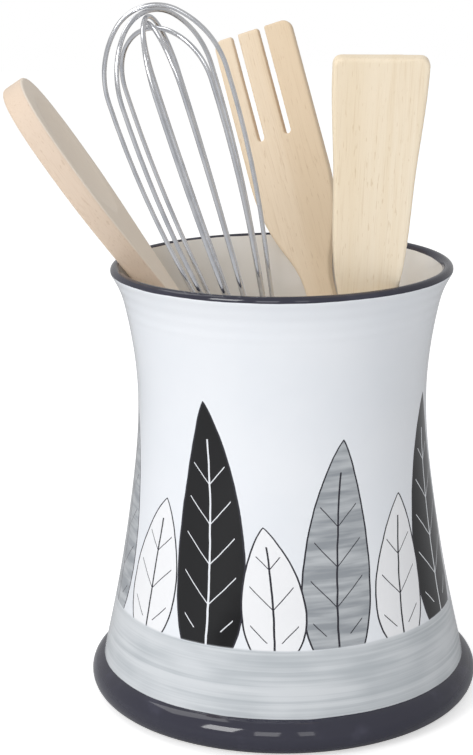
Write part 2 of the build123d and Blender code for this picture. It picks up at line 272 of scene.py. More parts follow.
@dataclass(frozen=True)
class Glaze:
    """The glossy glaze of the jar, white with a dark rim and foot and a painted border.

    Clouds, patches and grain give the scale of their noise and the two values between which it rises. Edges
    give the two values alone. Stretches say how fine a noise is along each axis.
    """

    white: Colour = paint(239, 242, 247)
    cool_white: Colour = paint(234, 238, 244)
    cream: Colour = paint(222, 217, 209)
    inner_white: Colour = paint(236, 233, 228)
    dark: Colour = paint(50, 50, 63)
    dark_thin: Colour = paint(73, 73, 89)
    band_pale: Colour = paint(214, 218, 222)
    band_grey: Colour = paint(185, 191, 196)
    leaf_black: Colour = paint(7, 7, 10)
    leaf_grey: Colour = paint(150, 155, 161)
    leaf_grey_pale: Colour = paint(192, 196, 200)
    leaf_white: Colour = paint(244, 245, 248)
    line: Colour = paint(44, 43, 52)
    clay: Colour = paint(214, 200, 180)
    clay_shade: Colour = paint(196, 180, 158)
    roughness: float = 0.07
    inner_roughness: float = 0.14
    coat: float = 0.12
    coat_roughness: float = 0.03
    clay_roughness: float = 0.8
    clay_depth: float = 0.05 * MM
    white_clouds: tuple = (22.0, 0.3, 0.8)
    cream_clouds: tuple = (25.0, 0.3, 0.8)
    thin_patches: tuple = (60.0, 0.5, 0.95)
    clay_grain: tuple = (900.0, 0.3, 0.75)
    leaf_brush_stretch: tuple = (30, 30, 300)
    leaf_brush_edges: tuple = (0.34, 0.68)
    band_brush_stretch: tuple = (9, 9, 560)
    band_wash_stretch: tuple = (24, 24, 60)
    band_wash_share: float = 0.45
    band_streak_edges: tuple = (0.36, 0.62)
    outer_edge_stretch: tuple = (1, 1, 0.2)
    edge_waver_scale: float = 45.0
    leaf_waver_scale: float = 90.0
    uneven_scale: float = 35.0
    uneven_share: float = 0.8
    foot_overlap: float = 0.3 * MM
    ridge_low: float = 178 * MM
    ridge_high: float = 192 * MM
    ridge_pitch: float = 5.2 * MM
    ridge_depth: float = 0.10 * MM
    waver: float = 0.9 * MM
    band_edge: float = 0.7 * MM
    leaves: tuple[PaintedLeaf, ...] = tuple(
        PaintedLeaf(kind, place, height * MM, half_width * MM, lean)
        for kind, place, height, half_width, lean in (
            (LeafKind.GREY, 17, 88, 16, 0.07),
            (LeafKind.BLACK, -27, 104, 17, -0.06),
            (LeafKind.GREY, -79, 96, 16, -0.08),
            (LeafKind.BLACK, 66, 98, 18, 0.06),
            (LeafKind.GREY, 113, 92, 16, -0.07),
            (LeafKind.BLACK, 158, 106, 17, 0.05),
            (LeafKind.BLACK, -126, 100, 17, 0.07),
            (LeafKind.WHITE, -4, 52, 14, -0.10),
            (LeafKind.WHITE, 42, 60, 14, 0.10),
            (LeafKind.WHITE, -53, 58, 15, 0.08),
            (LeafKind.WHITE, 90, 50, 14, -0.08),
            (LeafKind.WHITE, 136, 56, 15, 0.09),
            (LeafKind.WHITE, -176, 50, 14, -0.09),
            (LeafKind.WHITE, -150, 60, 15, 0.06),
            (LeafKind.WHITE, -102, 54, 14, -0.07),
        ))

    def leaf_colour(self, graph: Graph, kind: LeafKind, point: Socket) -> tuple:
        """The fill and the vein colour of a kind of leaf.

        Args:
            graph: The graph of the material.
            kind: The kind of leaf.
            point: The point of the surface.

        Returns:
            The fill and the colour of the veins.
        """
        if kind is LeafKind.BLACK:
            return self.leaf_black, self.white
        if kind is LeafKind.WHITE:
            return self.leaf_white, self.line
        brush = graph.noise(graph.stretched(point, self.leaf_brush_stretch), 1.0, 3.0)
        streaks = graph.step(brush, *self.leaf_brush_edges)
        return graph.mix(streaks, self.leaf_grey, self.leaf_grey_pale), self.line

    def wavering(self, graph: Graph, value: object, noise: Socket) -> Socket:
        """A place that wavers with some noise, as a hand-painted edge does."""
        return graph.math("ADD", value, graph.product(graph.math("SUBTRACT", noise, 0.5), self.waver))

    def painted(self, graph: Graph, base: object, point: Socket, band_top: float) -> object:
        """The painted border over the white glaze.

        Args:
            graph: The graph of the material.
            base: The colour under the border.
            point: The point of the surface.
            band_top: The height of the brushed band's upper edge.

        Returns:
            The colour with every leaf laid over it in turn.
        """
        pattern = LeafPattern()
        tree = pattern.build()
        axes = graph.node("SeparateXYZ", {0: point}).outputs
        turn = graph.math("ARCTAN2", axes[0], graph.product(axes[1], -1.0))
        around = self.wavering(graph, graph.product(turn, pattern.ring_radius),
                               graph.noise(point, self.leaf_waver_scale))
        up = graph.math("SUBTRACT", axes[2], band_top)
        fills = {kind: self.leaf_colour(graph, kind, point) for kind in LeafKind}
        colour = base
        for leaf in self.leaves:
            place = math.radians(leaf.place) * pattern.ring_radius
            found = graph.node("Group", {
                "Around": around, "Up": up, "Place": place, "Height": leaf.height,
                "Half width": leaf.half_width, "Lean": leaf.lean}, node_tree=tree).outputs
            fill, vein = fills[leaf.kind]
            colour = graph.mix(found["Fill"], colour, fill)
            colour = graph.mix(found["Vein"], colour, vein)
            colour = graph.mix(found["Outline"], colour, self.line)
        return colour

    def ridges(self, graph: Graph, height: Socket) -> Socket:
        """The faint throwing ridges under the rim.

        Args:
            graph: The graph of the material.
            height: The height of the point on the jar.

        Returns:
            The relief of the ridges, from 0 to 1.
        """
        wave = graph.math("SINE", graph.product(height, 2 * math.pi / self.ridge_pitch))
        begun = graph.step(height, self.ridge_low - self.ridge_pitch, self.ridge_low)
        ended = graph.step(height, self.ridge_high, self.ridge_high + self.ridge_pitch)
        near = graph.product(begun, graph.math("SUBTRACT", 1.0, ended))
        return graph.product(graph.math("MULTIPLY_ADD", wave, 0.5, 0.5), near)

    def dark_glaze(self, graph: Graph, point: Socket) -> object:
        """The dark glaze of the rim and the foot, a little thinner in places."""
        return graph.mix(graph.clouds(point, *self.thin_patches), self.dark, self.dark_thin)

    def outside(self, jar: "Crock") -> Material:
        """The glaze of the jar's outside, from its foot to the top of its lip.

        Args:
            jar: The jar, whose heights the glazes follow.

        Returns:
            The material.
        """
        material, graph, shader = new_material("glaze_outside")
        point = graph.object_point()
        height = graph.node("SeparateXYZ", {0: point}).outputs[2]
        outer = graph.stretched(point, self.outer_edge_stretch)
        wavy = self.wavering(graph, height, graph.noise(outer, self.edge_waver_scale, 3.0))
        colour = graph.mix(graph.clouds(point, *self.white_clouds), self.white, self.cool_white)
        colour = self.painted(graph, colour, point, jar.band_top)
        brush = graph.noise(graph.stretched(point, self.band_brush_stretch), 1.0, 5.0)
        wash = graph.noise(graph.stretched(point, self.band_wash_stretch), 1.0, 2.0)
        share = graph.math("MULTIPLY_ADD", wash, self.band_wash_share,
                           graph.product(brush, 1 - self.band_wash_share))
        streaks = graph.mix(graph.step(share, *self.band_streak_edges), self.band_grey, self.band_pale)
        edge = graph.step(wavy, jar.band_top - self.band_edge, jar.band_top + self.band_edge)
        colour = graph.mix(edge, streaks, colour)
        dark = self.dark_glaze(graph, point)
        foot = graph.math("LESS_THAN", wavy, jar.flange_height + self.foot_overlap)
        colour = graph.mix(foot, colour, dark)
        colour = graph.mix(graph.math("GREATER_THAN", wavy, jar.height - jar.rim_band), colour, dark)
        uneven = graph.product(graph.noise(point, self.uneven_scale), self.uneven_share)
        relief = graph.math("ADD", uneven, self.ridges(graph, height))
        graph.fill(shader, {
            "Base Color": colour, "Roughness": self.roughness, "Coat Weight": self.coat,
            "Coat Roughness": self.coat_roughness, "Normal": graph.bump(relief, self.ridge_depth)})
        return material

    def inside(self, jar: "Crock") -> Material:
        """The cream glaze of the jar's inside, dark at the lip and a little further down at the right.

        Args:
            jar: The jar, whose heights the glazes follow.

        Returns:
            The material.
        """
        material, graph, shader = new_material("glaze_inside")
        point = graph.object_point()
        axes = graph.node("SeparateXYZ", {0: point}).outputs
        rightwards = graph.math("MAXIMUM", axes[0], 0.0)
        height = graph.math("MULTIPLY_ADD", rightwards, jar.inner_rim_slant, axes[2])
        wavy = self.wavering(graph, height, graph.noise(point, self.edge_waver_scale, 3.0))
        colour = graph.mix(graph.clouds(point, *self.cream_clouds), self.cream, self.inner_white)
        dark = self.dark_glaze(graph, point)
        colour = graph.mix(graph.math("GREATER_THAN", wavy, jar.height - jar.inner_rim_band), colour, dark)
        relief = graph.bump(graph.noise(point, self.uneven_scale), self.ridge_depth)
        graph.fill(shader, {"Base Color": colour, "Roughness": self.inner_roughness, "Normal": relief})
        return material

    def foot(self) -> Material:
        """The bare clay of the ring that the jar stands on, which was wiped clean of glaze."""
        material, graph, shader = new_material("bare_clay")
        scale, low, high = self.clay_grain
        grain = graph.noise(graph.object_point(), scale, 4.0)
        colour = graph.mix(graph.step(grain, low, high), self.clay, self.clay_shade)
        graph.fill(shader, {"Base Color": colour, "Roughness": self.clay_roughness,
                            "Normal": graph.bump(grain, self.clay_depth)})
        return material


@dataclass(frozen=True)
class GrainLayer:
    """One layer of the grain of wood: noise, and the colour that is laid on where it is high.

    Attributes:
        stretch: How fine the noise is along each axis.
        detail: The noise's detail.
        low: The noise up to which no colour is laid on.
        high: The noise from which all of the share is.
        share: How much is laid on there.
    """

    stretch: tuple
    detail: float
    low: float
    high: float
    share: float

    def noise(self, graph: Graph, point: Socket) -> Socket:
        """The layer's noise."""
        return graph.noise(graph.stretched(point, self.stretch), 1.0, self.detail)


@dataclass(frozen=True)
class WoodGrain:
    """The grain of beech, which the three wooden tools share."""

    drift: GrainLayer = GrainLayer((26, 26, 3.5), 2.0, 0.32, 0.70, 1.0)
    rings: GrainLayer = GrainLayer((330, 120, 5), 3.0, 0.46, 0.74, 0.55)
    fibres: GrainLayer = GrainLayer((1900, 1900, 45), 2.0, 0.5, 0.8, 0.30)
    dashes: GrainLayer = GrainLayer((1500, 900, 190), 1.0, 0.66, 0.74, 0.38)
    wander: float = 0.006

    def tree(self) -> Tree:
        """The node group of the grain, which is made when it is first asked for."""
        found = bpy.data.node_groups.get("wood_grain")
        if found:
            return found
        graph, given = new_group(
            "wood_grain", (("Along", "Vector"), ("Pale", "Color"), ("Warm", "Color"), ("Fleck", "Color")),
            (("Color", "Color"), ("Height", "Float")))
        along = given["Along"]
        drift = self.drift.noise(graph, along)
        aside = graph.node("CombineXYZ", {0: drift, 1: drift}).outputs[0]
        shift = graph.stretched(aside, (self.wander, self.wander, 0))
        bent = graph.node("VectorMath", {0: along, 1: shift}, operation="ADD").outputs[0]
        fibres = self.fibres.noise(graph, along)
        colour = given["Pale"]
        for layer, noise, laid_on in (
                (self.drift, drift, "Warm"), (self.rings, self.rings.noise(graph, bent), "Warm"),
                (self.fibres, fibres, "Fleck"), (self.dashes, self.dashes.noise(graph, along), "Fleck")):
            share = graph.product(graph.step(noise, layer.low, layer.high), layer.share)
            colour = graph.mix(share, colour, given[laid_on])
        return close_group(graph, {"Color": colour, "Height": fibres})


@dataclass(frozen=True)
class Beech:
    """Bare sanded beech, with its grain along the tool.

    The tool's face may be painted paler, a painted lit face that stands in for the light falling on it: it
    goes by a share towards a colour of its own, where the surface looks out of the face squarely enough,
    between the two values of its edges.
    """

    name: str
    pale: Colour
    warm: Colour
    fleck: Colour
    face: Colour | None = None
    painted_light_share: float = 0.6
    painted_light_edges: tuple = (0.3, 0.7)
    roughness: float = 0.58
    specular: float = 0.35
    relief: float = 0.06 * MM

    def material(self, turn: Matrix) -> Material:
        """The finish of a tool.

        Args:
            turn: The rotation from the tool's own axes to the jar's.

        Returns:
            The material, with its grain along the tool's z axis.
        """
        material, graph, shader = new_material(self.name)
        aligned = graph.node("Mapping", {"Vector": graph.object_point(),
                                         "Rotation": turn.transposed().to_euler()})
        given = {"Along": aligned.outputs[0], "Pale": self.pale, "Warm": self.warm, "Fleck": self.fleck}
        grain = graph.node("Group", given, node_tree=WoodGrain().tree()).outputs
        colour = grain["Color"]
        # Painted light: the face is painted paler where it looks out squarely, standing in for the light on
        # it.
        if self.face:
            squarely = graph.node("Attribute", attribute_name=FACE_ATTRIBUTE).outputs["Fac"]
            share = graph.product(graph.step(squarely, *self.painted_light_edges), self.painted_light_share)
            colour = graph.mix(share, colour, self.face)
        graph.fill(shader, {
            "Base Color": colour, "Roughness": self.roughness, "Specular IOR Level": self.specular,
            "Normal": graph.bump(grain["Height"], self.relief)})
        return material


@dataclass(frozen=True)
class PolishedSteel:
    """Stainless steel, drawn and polished."""

    name: str
    bright: Colour = paint(236, 237, 240)
    dull: Colour = paint(216, 218, 223)
    dull_clouds: tuple = (120.0, 0.35, 0.75)
    roughness: float = 0.17
    roughness_spread: float = 0.10
    roughness_scale: float = 800.0

    def material(self) -> Material:
        """The finish."""
        material, graph, shader = new_material(self.name)
        point = graph.object_point()
        colour = graph.mix(graph.clouds(point, *self.dull_clouds), self.bright, self.dull)
        rough = graph.math("MULTIPLY_ADD", graph.noise(point, self.roughness_scale), self.roughness_spread,
                           self.roughness - self.roughness_spread / 2)
        graph.fill(shader, {"Base Color": colour, "Metallic": 1.0, "Roughness": rough})
        return material


def smooth_line(points: list[Point], start: Point, end: Point, steps: int) -> list[Point]:
    """Points of the smooth curve through some points.

    Args:
        points: The points that the curve passes through.
        start: The direction in which it sets out.
        end: The direction in which it arrives.
        steps: How many pieces each stretch is cut into.

    Returns:
        The points, the first and the last given ones included.
    """
    given = np.array(points, float)
    spans = np.linalg.norm(np.diff(given, axis=0), axis=1)
    count = len(given)
    system, wanted = np.eye(count), np.zeros((count, 2))
    wanted[0] = np.array(start) / np.linalg.norm(start)
    wanted[-1] = np.array(end) / np.linalg.norm(end)
    for i in range(1, count - 1):
        before, after = 1 / spans[i - 1], 1 / spans[i]
        system[i, i - 1:i + 2] = (before, 2 * (before + after), after)
        wanted[i] = 3 * ((given[i] - given[i - 1]) * before ** 2 + (given[i + 1] - given[i]) * after ** 2)
    slopes = np.linalg.solve(system, wanted)
    line = [tuple(given[0])]
    for i, span in enumerate(spans):
        for s in np.linspace(0, 1, steps + 1)[1:]:
            line.append(tuple(
                (2 * s ** 3 - 3 * s ** 2 + 1) * given[i] + (s ** 3 - 2 * s ** 2 + s) * span * slopes[i]
                + (3 * s ** 2 - 2 * s ** 3) * given[i + 1] + (s ** 3 - s ** 2) * span * slopes[i + 1]))
    return line


def arc_line(centre: Point, radius: float, start: float, turn: float, steps: int) -> list[Point]:
    """Points along an arc, from a start angle through a turn, both in degrees."""
    angles = [math.radians(start + turn * i / steps) for i in range(steps + 1)]
    return [(centre[0] + radius * math.cos(a), centre[1] + radius * math.sin(a)) for a in angles]


def between(start: float, end: float, share: float) -> float:
    """The value at a share of the way from start to end."""
    return start + (end - start) * share


def arc_through(first: Point, middle: Point, last: Point, steps: int) -> list[Point]:
    """Points along the arc through three points.

    Args:
        first: The point that it starts from.
        middle: A point on its way.
        last: The point that it ends at.
        steps: How many pieces it is cut into.

    Returns:
        The points, the first and the last included.
    """
    a, b, c = (complex(*p) for p in (first, middle, last))
    w = (c - a) / (b - a)
    centre = (b - a) * (w - abs(w) ** 2) / (2j * w.imag) + a
    radius = abs(a - centre)
    angles = [math.degrees(math.atan2((p - centre).imag, (p - centre).real)) for p in (a, b, c)]
    turn = (angles[2] - angles[0] + 180) % 360 - 180
    return arc_line((centre.real, centre.imag), radius, angles[0], turn, steps)


def finish_mesh(mesh: bmesh.types.BMesh, name: str, crease: float) -> Piece:
    """Turn a finished bmesh into an object.

    Args:
        mesh: The mesh, in its place.
        name: The object's name.
        crease: The angle in degrees past which an edge stays sharp.

    Returns:
        The object, at the origin.
    """
    bmesh.ops.recalc_face_normals(mesh, faces=mesh.faces)
    data = bpy.data.meshes.new(name)
    mesh.to_mesh(data)
    mesh.free()
    data.shade_smooth()
    data.set_sharp_from_angle(angle=math.radians(crease))
    made = bpy.data.objects.new(name, data)
    bpy.context.scene.collection.objects.link(made)
    return made


def turned(mesh: bmesh.types.BMesh, outline: list[Point], steps: int, slot: int = 0) -> None:
    """Turn an outline of radius and height pairs about the z axis, as on a lathe or a wheel.

    Args:
        mesh: The mesh to add to.
        outline: The outline, which may start or end on the axis.
        steps: How many pieces the turn is cut into.
        slot: The material slot of the new faces.
    """
    before = set(mesh.faces)
    corners = [mesh.verts.new((radius, 0, height)) for radius, height in outline]
    edges = [mesh.edges.new(pair) for pair in zip(corners, corners[1:])]
    bmesh.ops.spin(mesh, geom=corners + edges, cent=(0, 0, 0), axis=(0, 0, 1), angle=2 * math.pi,
                   steps=steps, use_merge=True)
    for face in set(mesh.faces) - before:
        face.material_index = slot


@dataclass
class Crock:
    """The jar: one turned piece, glazed inside and out."""

    height: float = 197.2 * MM
    foot_radius: float = 88.2 * MM
    base_radius: float = 82.6 * MM
    waist_radius: float = 64.5 * MM
    rim_radius: float = 75.4 * MM
    wall: float = 4.4 * MM
    foot_wall: float = 8.0 * MM
    floor_thickness: float = 8.0 * MM
    cove_radius: float = 8.0 * MM
    flange_height: float = 16.3 * MM
    foot_undercut: float = 7.9 * MM
    foot_chamfer: float = 0.8 * MM
    foot_ring_width: float = 14.0 * MM
    foot_recess: float = 2.4 * MM
    waist_height_share: float = 0.70
    flange_bulge_share: float = 0.53
    lip_lean: float = 30.0
    lower_wall_shares: tuple = ((0.236, 0.641), (0.606, 0.204))
    upper_wall_shares: tuple = ((0.630, 0.400), (0.800, 0.629))
    band_top: float = 45.0 * MM
    rim_band: float = 2.5 * MM
    inner_rim_band: float = 0.8 * MM
    inner_rim_slant: float = 0.022
    steps: int = 192
    flange_steps: int = 16
    wall_steps: int = 12
    cove_steps: int = 8
    lip_steps: int = 16
    lip_outer_steps: int = 11
    crease: float = 35.0
    glaze: Glaze = Glaze()

    def wall_points(self, inset: float) -> list[Point]:
        """Points of the wall between its base and its lip.

        Args:
            inset: How far they are moved in from the outside.

        Returns:
            The points, from the base up.
        """
        waist_height = between(self.flange_height, self.height, self.waist_height_share)
        points = [(between(self.waist_radius, self.base_radius, out),
                   between(self.flange_height, waist_height, up)) for up, out in self.lower_wall_shares]
        points.append((self.waist_radius, waist_height))
        points += [(between(self.waist_radius, self.rim_radius, out),
                    between(waist_height, self.height, up)) for up, out in self.upper_wall_shares]
        return [(radius - inset, height) for radius, height in points]

    def outlines(self) -> tuple[list[Point], list[Point], list[Point]]:
        """The outlines of the underside, the outside and the inside, in turning order."""
        ring_outer = self.foot_radius - self.foot_undercut
        ring_inner = ring_outer - self.foot_ring_width
        flange_low = (ring_outer + self.foot_chamfer, self.foot_chamfer)
        underside = [(0, self.foot_recess), (ring_inner - self.foot_recess, self.foot_recess),
                     (ring_inner, 0), (ring_outer, 0), flange_low]
        base = (self.base_radius, self.flange_height)
        flange = arc_through(flange_low, (self.foot_radius, self.flange_height * self.flange_bulge_share),
                             base, self.flange_steps)
        lip = self.wall / 2
        lip_centre = (self.rim_radius - lip, self.height - lip)
        over = arc_line(lip_centre, lip, -self.lip_lean, 180, self.lip_steps)
        rise = arc_line((0, 0), 1, 90 - self.lip_lean, 0, 1)[0]
        points = self.wall_points(0)
        away = (points[0][0] - base[0], points[0][1] - base[1])
        outside = smooth_line([base] + points + [over[0]], away, rise, self.wall_steps)
        cove_centre = (self.base_radius - self.foot_wall - self.cove_radius,
                       self.floor_thickness + self.cove_radius)
        cove = arc_line(cove_centre, self.cove_radius, -90, 90, self.cove_steps)
        inside = smooth_line([cove[-1]] + self.wall_points(self.wall) + [over[-1]], (0, 1), rise,
                             self.wall_steps)
        outer = flange + outside[1:] + over[1:self.lip_outer_steps + 1]
        inner = over[self.lip_outer_steps:] + inside[-2::-1] + cove[-2::-1] + [(0, self.floor_thickness)]
        return underside, outer, inner

    def build(self) -> Piece:
        """Turn the jar and glaze it."""
        mesh = bmesh.new()
        for slot, outline in enumerate(self.outlines()):
            turned(mesh, outline, self.steps, slot)
        bmesh.ops.remove_doubles(mesh, verts=mesh.verts, dist=SAME_PLACE)
        jar = finish_mesh(mesh, "crock_jar", self.crease)
        for material in (self.glaze.foot(), self.glaze.outside(self), self.glaze.inside(self)):
            jar.data.materials.append(material)
        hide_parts("crock_body")
        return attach(jar, "crock")


def tool_turn(body: str, facing: float) -> Matrix:
    """The rotation from a standing tool's own axes to the jar's.

    Args:
        body: The tool's body, whose joint runs along the tool.
        facing: The direction in which the tool's face looks, in degrees.

    Returns:
        The rotation, with x across the tool, y out of its back and z up it.
    """
    joint = next(joint for joint in frame["joints"] if joint["child"] == body)
    up = Vector(joint["axis"]).normalized()
    face = Vector((math.cos(math.radians(facing)), math.sin(math.radians(facing)), 0))
    across = up.cross(face).normalized()
    return Matrix((across, up.cross(across), up)).transposed()


@dataclass
class WoodenTool:
    """A wooden tool, sanded round from its sawn board.

    Attributes:
        node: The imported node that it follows.
        body: The body that it rides on.
        facing: The direction in which its face looks, in degrees.
        finish: Its wood.
        weld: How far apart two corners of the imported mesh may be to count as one.
        grain_size: How finely the surface is divided before it is sanded.
        sanding: How many times the surface is smoothed.
        sanding_share: How far each time moves a point towards its neighbours.
    """

    node: str
    body: str
    facing: float
    finish: Beech
    weld: float = 0.01 * MM
    grain_size: float = 0.55 * MM
    sanding: int = 3
    sanding_share: float = 0.5

    def build(self) -> Piece:
        """Sand the tool and dress it."""
        mesh = bmesh.new()
        mesh.from_mesh(frame["nodes"][self.node].data)
        bmesh.ops.remove_doubles(mesh, verts=mesh.verts, dist=self.weld)
        blank = finish_mesh(mesh, self.node + "_blank", ALL_SMOOTH)
        remesh = blank.modifiers.new("even_surface", "REMESH")
        remesh.mode = "VOXEL"
        remesh.voxel_size = self.grain_size
        ready = blank.evaluated_get(bpy.context.evaluated_depsgraph_get())
        mesh = bmesh.new()
        mesh.from_mesh(ready.to_mesh())
        bpy.data.objects.remove(blank)
        for _ in range(self.sanding):
            bmesh.ops.smooth_vert(mesh, verts=mesh.verts, factor=self.sanding_share, use_axis_x=True,
                                  use_axis_y=True, use_axis_z=True)
        tool = finish_mesh(mesh, self.node + "_sanded", ALL_SMOOTH)
        turn = tool_turn(self.body, self.facing)
        back = turn.col[1]
        # How squarely each point looks out of the face: the mask of a painted lit face, where the tool has
        # one.
        marks = tool.data.attributes.new(FACE_ATTRIBUTE, "FLOAT", "POINT")
        marks.data.foreach_set("value", [max(0.0, -vert.normal.dot(back)) for vert in tool.data.vertices])
        tool.data.materials.append(self.finish.material(turn))
        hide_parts(self.node)
        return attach(tool, self.body)


class WireBender:
    """Bends a round wire from its end, run by run, in the plane of x and z."""

    CREASE = 60

    def __init__(self, start: Point, radius: float, sides: int = 14) -> None:
        """Set out upwards.

        Args:
            start: The x and z of the wire's end.
            radius: The wire's radius.
            sides: How many sides stand for its round section.
        """
        self.mesh = bmesh.new()
        self.place = Vector((start[0], 0, start[1]))
        self.way = Vector((0, 0, 1))
        ring = bmesh.ops.create_circle(self.mesh, cap_ends=False, radius=radius, segments=sides,
                                       matrix=Matrix.Translation(self.place))
        self.ring = list({edge for vert in ring["verts"] for edge in vert.link_edges})
        self.first = list(self.ring)

    def straight(self, length: float) -> "WireBender":
        """Run straight on.

        Args:
            length: How far.

        Returns:
            The bender, for the next run.
        """
        made = bmesh.ops.extrude_edge_only(self.mesh, edges=self.ring)["geom"]
        verts = [item for item in made if isinstance(item, bmesh.types.BMVert)]
        bmesh.ops.translate(self.mesh, vec=self.way * length, verts=verts)
        self.ring = [edge for edge in made if isinstance(edge, bmesh.types.BMEdge)
                     and all(vert in verts for vert in edge.verts)]
        self.place = self.place + self.way * length
        return self

    def bend(self, radius: float, turn: float, step: float = 4.0) -> "WireBender":
        """Bend through an angle.

        Args:
            radius: The radius of the bend.
            turn: The angle in degrees, from +z towards -x where it is positive.
            step: The greatest angle between two rings.

        Returns:
            The bender, for the next run.
        """
        side = math.copysign(1, turn)
        inward = Vector((-self.way.z, 0, self.way.x)) * side
        centre = self.place + inward * radius
        axis = Vector((0, -side, 0))
        angle = math.radians(abs(turn))
        verts = list({vert for edge in self.ring for vert in edge.verts})
        last = bmesh.ops.spin(self.mesh, geom=verts + self.ring, cent=centre, axis=axis, angle=angle,
                              steps=max(2, math.ceil(abs(turn) / step)))["geom_last"]
        self.ring = [item for item in last if isinstance(item, bmesh.types.BMEdge)]
        rotation = Matrix.Rotation(angle, 3, axis)
        self.place = centre + rotation @ (self.place - centre)
        self.way = rotation @ self.way
        return self

    def done(self, name: str, where: Matrix) -> Piece:
        """Close both ends of the wire.

        Args:
            name: The wire's name.
            where: Its place.

        Returns:
            The wire, in its place.
        """
        for ring in (self.first, self.ring):
            bmesh.ops.edgeloop_fill(self.mesh, edges=ring)
        bmesh.ops.transform(self.mesh, matrix=where, verts=self.mesh.verts)
        return finish_mesh(self.mesh, name, self.CREASE)


@dataclass
class Whisk:
    """The balloon whisk: five wire loops, a swollen handle, its plug and cap and a loop to hang by."""

    wire_radius: float = 1.0 * MM
    round_share: float = 0.97
    loop_angles: tuple = (0.0, 41.0, 79.5, 104.5, 137.0)
    loop_pitch: float = 2.2 * MM
    balloon_radius: float = 24.7 * MM
    balloon_height: float = 186.8 * MM
    crown_height: float = 32.5 * MM
    crown_turn: float = 42.9
    flare_share: float = 1.307
    wire_bend_radius: float = 12.0 * MM
    wire_margin: float = 0.4 * MM
    fit_gap: float = 0.1 * MM
    handle_length: float = 101.0 * MM
    handle_top_radius: float = 7.5 * MM
    handle_grip_radius: float = 8.8 * MM
    handle_end_radius: float = 6.5 * MM
    tube_wall: float = 0.8 * MM
    plug_depth: float = 9.0 * MM
    cap_length: float = 10.0 * MM
    cap_nose_radius: float = 5.6 * MM
    cap_nose_chamfer: float = 1.0 * MM
    cap_spigot: float = 7.0 * MM
    hang_wire_radius: float = 1.1 * MM
    hang_loop_radius: float = 8.5 * MM
    hang_neck_radius: float = 4.0 * MM
    hang_leg_offset: float = 3.0 * MM
    hang_leg_depth: float = 7.0 * MM
    facing: float = 270.0
    side_step: float = 1.5
    turn_steps: int = 64
    handle_steps: int = 24
    cap_nose_turn: float = 75.0
    cap_nose_steps: int = 6
    crease: float = 40.0

    def __post_init__(self) -> None:
        """Work out the levels along the whisk and where it stands."""
        reach = self.hang_loop_radius + self.hang_neck_radius
        self.hang_turn = math.degrees(math.acos((self.hang_leg_offset + self.hang_neck_radius) / reach))
        self.hang_centre = self.hang_wire_radius + self.hang_loop_radius
        self.cap_base = self.hang_centre + reach * math.sin(math.radians(self.hang_turn))
        self.tube_base = self.cap_base + self.cap_length
        self.tube_top = self.tube_base + self.handle_length
        self.widest_level = self.tube_top + self.balloon_height - self.crown_height
        plug_radius = self.handle_top_radius - self.tube_wall - self.fit_gap
        self.strand_radius = plug_radius - self.wire_margin - self.wire_radius
        turn = tool_turn("whisk", self.facing)
        low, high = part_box("whisk_wire_plug")
        plug_middle = Vector((0, 0, self.tube_top - self.plug_depth / 2))
        foot = (low + high) / 2 - turn @ plug_middle
        self.where = Matrix.Translation(foot) @ turn.to_4x4()
        self.wire_finish = PolishedSteel("steel_wire").material()
        self.body_finish = PolishedSteel("steel_handle", roughness=0.2).material()

    def wire(self, index: int) -> Piece:
        """Bend one loop of wire, from the plug over the crown and back.

        Args:
            index: Which loop, from the outermost at 0.

        Returns:
            The loop, in its place.
        """
        inward = self.balloon_radius - self.strand_radius
        rise = self.widest_level - self.tube_top
        flare = self.flare_share * math.atan(inward / rise)
        sine, versine = math.sin(flare), 1 - math.cos(flare)
        side_radius = (rise * sine - inward * math.cos(flare)) / versine - self.wire_bend_radius
        across = self.wire_bend_radius * versine + side_radius * versine
        run = (inward - across) / sine
        height = self.tube_top + self.balloon_height - index * self.loop_pitch - self.widest_level
        s, c = math.sin(math.radians(self.crown_turn)), math.cos(math.radians(self.crown_turn))
        scale = s * c - (1 - s) * (1 - c)
        top_radius = (self.balloon_radius * c - height * (1 - s)) / scale
        flank_radius = (height * s - self.balloon_radius * (1 - c)) / scale
        turn, flank = math.degrees(flare), 90 - self.crown_turn
        bender = WireBender((self.strand_radius, self.tube_top - self.plug_depth),
                            self.wire_radius * self.round_share)
        bender.straight(self.plug_depth).bend(self.wire_bend_radius, -turn).straight(run)
        bender.bend(side_radius, turn, self.side_step).bend(flank_radius, flank)
        bender.bend(top_radius, 2 * self.crown_turn)
        bender.bend(flank_radius, flank).bend(side_radius, turn, self.side_step).straight(run)
        bender.bend(self.wire_bend_radius, -turn).straight(self.plug_depth)
        around = Matrix.Rotation(math.radians(self.loop_angles[index]), 4, "Z")
        return bender.done(f"whisk_loop_{index + 1}", self.where @ around)

    def hanging_loop(self) -> Piece:
        """Bend the loop that the whisk hangs by, from one leg round to the other."""
        bender = WireBender((self.hang_leg_offset, -self.cap_base - self.hang_leg_depth),
                            self.hang_wire_radius * self.round_share)
        bender.straight(self.hang_leg_depth).bend(self.hang_neck_radius, -self.hang_turn)
        bender.bend(self.hang_loop_radius, 180 + 2 * self.hang_turn)
        bender.bend(self.hang_neck_radius, -self.hang_turn).straight(self.hang_leg_depth)
        upright = Matrix.Rotation(math.pi, 4, "X")
        return bender.done("whisk_hanger", self.where @ upright)

    def turned_piece(self, name: str, outline: list[Point]) -> Piece:
        """Turn one round piece of the whisk.

        Args:
            name: The piece's name.
            outline: Its outline, as pairs of radius and level.

        Returns:
            The piece, in its place.
        """
        mesh = bmesh.new()
        turned(mesh, outline, self.turn_steps)
        bmesh.ops.remove_doubles(mesh, verts=mesh.verts, dist=SAME_PLACE)
        bmesh.ops.transform(mesh, matrix=self.where, verts=mesh.verts)
        return finish_mesh(mesh, name, self.crease)

